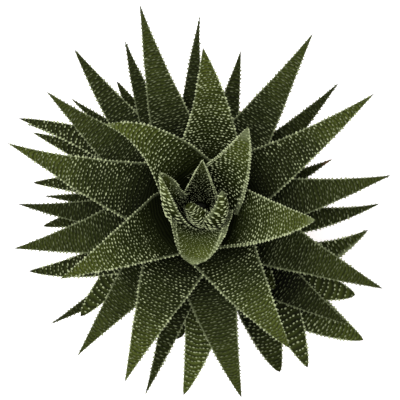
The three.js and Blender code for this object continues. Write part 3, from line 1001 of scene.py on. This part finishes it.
class HAWORTHIA_OT_pot(bpy.types.Operator):
    """Build the clay pot"""

    bl_idname = "haworthia.pot"
    bl_label = "Pot"

    def execute(self, context):
        look = context.scene.haworthia_pot
        height, rim, foot = (size / MM for size in (look.height, look.rim_radius, look.foot_radius))
        band = height - BAND_HEIGHT
        slope = (rim - BAND_STEP - foot) / height
        outer = foot + slope * band
        wall = [(foot + slope * band * i / WALL_ROWS, band * i / WALL_ROWS) for i in range(1, WALL_ROWS + 1)]
        low = band + BAND_SLANT
        collar = [
            (outer + BAND_STEP + 0.25 * slope * i, low + (height - band - BAND_SLANT) * i / COLLAR_ROWS)
            for i in range(COLLAR_ROWS + 1)
        ]
        collar = [(r + (rim - collar[-1][0]) * i / COLLAR_ROWS, z) for i, (r, z) in enumerate(collar)]
        taper, depth = rim - foot - 0.9, height - POT_FLOOR
        inner = [
            (rim - WALL - 0.9 - taper * i / INNER_ROWS, height - depth * i / INNER_ROWS)
            for i in range(INNER_ROWS + 1)
        ]
        lip = [(rim - WALL + 0.2, height)]
        bm = turned([(0, 0), (foot, 0), *wall, *collar, *lip, *inner, (0, POT_FLOOR)], POT_SIDES)
        round_off(bm, [(foot, 0), collar[0], collar[-1], lip[0]], EDGE_ROUNDING)
        for vert in bm.verts:
            at = vert.co
            swell = 0.1 * noise.noise(at * 0.06) + 0.035 * math.sin(at.z * 2.3) * noise.noise(at * 0.1)
            out = Vector((at.x, at.y, 0)).normalized()
            vert.co = at + out * swell + Vector((0, 0, 0.14 * noise.noise(at * 0.05) * at.z / height))
        pot = finish_mesh("pot_clay", bm, clay(look))
        drill = bmesh.new()
        bit = dict(radius1=DRAIN_RADIUS, radius2=DRAIN_RADIUS, depth=3 * POT_FLOOR, segments=32, cap_ends=True)
        for i in range(DRAIN_COUNT):
            turn = TURN * (i + 0.5) / DRAIN_COUNT
            where = (DRAIN_RING * math.cos(turn), DRAIN_RING * math.sin(turn), POT_FLOOR / 2)
            bmesh.ops.create_cone(drill, matrix=Matrix.Translation(where), **bit)
        cutter = finish_mesh("drill", drill)
        cut = pot.modifiers.new("drain holes", "BOOLEAN")
        cut.operation, cut.object, cut.solver = "DIFFERENCE", cutter, "EXACT"
        bpy.context.view_layer.update()
        whole = pot.data
        pot.data = bpy.data.meshes.new_from_object(pot.evaluated_get(bpy.context.evaluated_depsgraph_get()))
        pot.modifiers.clear()
        bpy.data.objects.remove(cutter)
        bpy.data.meshes.remove(whole)
        pot.data.name = "pot_clay"
        stand_in(pot, "pot")
        return {"FINISHED"}


def soil_height(x, y):
    """How high the mix stands at a place"""
    out = math.hypot(x, y) / SOIL_RADIUS
    lumps = 0.45 * noise.noise(Vector((x * 0.22, y * 0.22, 4.0)))
    lumps += 0.2 * noise.noise(Vector((x * 0.8, y * 0.8, 9.0)))
    return SOIL_TOP - SOIL_DIP * (1 - out) * out * 4 + lumps


def earth(look):
    """The fine part of the mix"""
    skin = Shader("earth")
    place = skin.place()
    crumb, speck = skin.noise(place, 900.0, detail=5.0), skin.noise(place, 3200.0, detail=2.0)
    colour = skin.blend(crumb.between(0.4, 0.7), look.mix_colour, (0.06, 0.036, 0.02))
    colour = skin.blend(speck.between(0.66, 0.74) * 0.7, colour, (0.22, 0.18, 0.13))
    skin.wear(Base_Color=colour, Roughness=0.95, Specular_IOR_Level=0.1)
    skin.bump(crumb + speck * 0.4, 1.0, 0.8 * MM)
    return skin.material


# Name, colour and share of each kind of grain
GRAIN_TONES = (
    ("pumice", (0.50, 0.45, 0.36), 0.34),
    ("perlite", (0.74, 0.72, 0.66), 0.14),
    ("stone", (0.20, 0.185, 0.165), 0.22),
    ("lava", (0.085, 0.045, 0.035), 0.14),
    ("bark", (0.10, 0.055, 0.028), 0.16),
)


def pebble(bm):
    """A rough grain, before it is turned and squeezed"""
    bmesh.ops.create_icosphere(bm, subdivisions=1, radius=1)
    for vert in bm.verts:
        vert.co *= 1 + 0.3 * noise.noise(vert.co * 3.7)


class HAWORTHIA_OT_potting_mix(bpy.types.Operator):
    """Build the potting mix with its grit"""

    bl_idname = "haworthia.potting_mix"
    bl_label = "Potting mix"

    def execute(self, context):
        look = context.scene.haworthia_pot
        foot = look.foot_radius / MM - WALL - 0.4
        edge = look.rim_radius / MM - WALL - 2.2
        low = POT_FLOOR + 0.3
        sides = [(foot + (edge - foot) * i / 6, low + (SOIL_TOP - 1 - low) * i / 6) for i in range(7)]
        top = [(edge * (1 - i / SOIL_ROWS), SOIL_TOP) for i in range(SOIL_ROWS)]
        bm = turned([(0, low), *sides, *top, (0, SOIL_TOP)], SOIL_SIDES)
        for vert in bm.verts:
            if vert.co.z > SOIL_TOP - 0.5:
                vert.co.z = soil_height(vert.co.x, vert.co.y)
        stand_in(finish_mesh("potting_mix_earth", bm, earth(look)), "potting_mix")

        rng = random.Random(11)
        names, _, shares = zip(*GRAIN_TONES)
        places = {name: [] for name in names}
        for _ in range(look.grains):
            tone = rng.choices(names, shares)[0]
            out, turn = (edge - 1.4) * math.sqrt(rng.random()), rng.uniform(0, TURN)
            x, y = out * math.cos(turn), out * math.sin(turn)
            size = rng.uniform(0.35, 0.95) * (1.15 if tone == "bark" else 1)
            spin = Matrix.Rotation(rng.uniform(0, TURN), 3, "Z")
            spin = spin @ Matrix.Rotation(rng.uniform(-0.5, 0.5), 3, "X")
            axes = [spin.col[k] * size * rng.uniform(0.7, 1.25) for k in range(2)]
            height = soil_height(x, y) + rng.uniform(-0.1, 0.25) * size
            places[tone].append((Vector((x, y, height)), *axes, spin.col[2] * size * rng.uniform(0.5, 0.8)))
        for name, colour, _ in GRAIN_TONES:
            skin = plain_skin(name, colour, 0.85, 0.2)
            grit = finish_mesh(f"potting_mix_{name}", scattered(places[name], pebble), skin)
            stand_in(grit, "potting_mix")
        return {"FINISHED"}


# Stage


# The sensor's width in millimetres, and half the view's width as a share of the distance
SENSOR, HALF_VIEW = 36, 0.1246
# Name, share of the overhead power, width and place of each lamp
LAMPS = (("overhead", 1, 1.1, (-0.25, 0.15, 1.5)), ("window", 0.35, 0.8, (-1.1, 0.5, 0.9)))
LAMPS_AIM = Vector((0, 0, 0.08))
FLOOR_HALF = 4


class HAWORTHIA_OT_stage(bpy.types.Operator):
    """Build the floor, the light and the camera"""

    bl_idname = "haworthia.stage"
    bl_label = "Stage"

    def execute(self, context):
        look = context.scene.haworthia_stage
        scene = context.scene
        bm = bmesh.new()
        bmesh.ops.create_grid(bm, x_segments=1, y_segments=1, size=FLOOR_HALF)
        mesh = bpy.data.meshes.new("floor")
        bm.to_mesh(mesh)
        bm.free()
        cover = Shader("floor")
        cover.wear(Base_Color=look.floor_colour, Roughness=0.9, Specular_IOR_Level=0.1)
        cover.wear(Emission_Color=look.floor_colour, Emission_Strength=look.floor_glow)
        mesh.materials.append(cover.material)
        floor = bpy.data.objects.new("floor", mesh)
        scene.collection.objects.link(floor)

        world = bpy.data.worlds.new("surroundings")
        world.use_nodes = True
        background = world.node_tree.nodes["Background"]
        background.inputs["Color"].default_value = (1, 1, 1, 1)
        background.inputs["Strength"].default_value = look.world_strength
        scene.world = world

        for name, share, size, place in LAMPS:
            lamp = bpy.data.lights.new(name, "AREA")
            lamp.shape = "DISK"
            lamp.size = size
            lamp.energy = look.key_power * share
            holder = bpy.data.objects.new(name, lamp)
            holder.location = place
            aim = LAMPS_AIM - Vector(place)
            holder.rotation_euler = aim.to_track_quat("-Z", "Y").to_euler()
            scene.collection.objects.link(holder)

        lens = bpy.data.cameras.new("camera")
        lens.sensor_width = SENSOR
        lens.lens = SENSOR / 2 / HALF_VIEW
        lens.clip_start, lens.clip_end = 0.01, 20
        camera = bpy.data.objects.new("camera", lens)
        camera.location = (0, 0, look.camera_height)
        scene.collection.objects.link(camera)
        scene.camera = camera
        scene.view_settings.view_transform = "Standard"
        return {"FINISHED"}


class HAWORTHIA_PT_panel(bpy.types.Panel):
    """The pieces of the potted haworthia"""

    bl_label = "Potted Haworthia"
    bl_idname = "HAWORTHIA_PT_panel"
    bl_space_type = "VIEW_3D"
    bl_region_type = "UI"
    bl_category = "Haworthia"

    def draw(self, context):
        for group in SETTINGS:
            settings = getattr(context.scene, group)
            box = self.layout.box()
            for key in settings.bl_rna.properties.keys():
                if key not in ("rna_type", "name"):
                    box.prop(settings, key)
        for operator in OPERATORS:
            self.layout.operator(operator.bl_idname)


SETTINGS = {
    "haworthia_leaf": HaworthiaLeafSettings,
    "haworthia_pot": HaworthiaPotSettings,
    "haworthia_stage": HaworthiaStageSettings,
}
OPERATORS = (
    HAWORTHIA_OT_heart_leaves,
    HAWORTHIA_OT_inner_leaves,
    HAWORTHIA_OT_upper_leaves,
    HAWORTHIA_OT_middle_leaves,
    HAWORTHIA_OT_lower_leaves,
    HAWORTHIA_OT_base_leaves,
    HAWORTHIA_OT_offset_leaves,
    HAWORTHIA_OT_stem,
    HAWORTHIA_OT_potting_mix,
    HAWORTHIA_OT_pot,
    HAWORTHIA_OT_stage,
)
CLASSES = (*SETTINGS.values(), *OPERATORS, HAWORTHIA_PT_panel)


def register():
    for cls in CLASSES:
        bpy.utils.register_class(cls)
    for group, cls in SETTINGS.items():
        setattr(bpy.types.Scene, group, bpy.props.PointerProperty(type=cls))


def unregister():
    for group in SETTINGS:
        delattr(bpy.types.Scene, group)
    for cls in reversed(CLASSES):
        bpy.utils.unregister_class(cls)


def main():
    register()
    for operator in OPERATORS:
        getattr(bpy.ops.haworthia, operator.bl_idname.split(".")[1])()


if __name__ == "__main__":
    main()
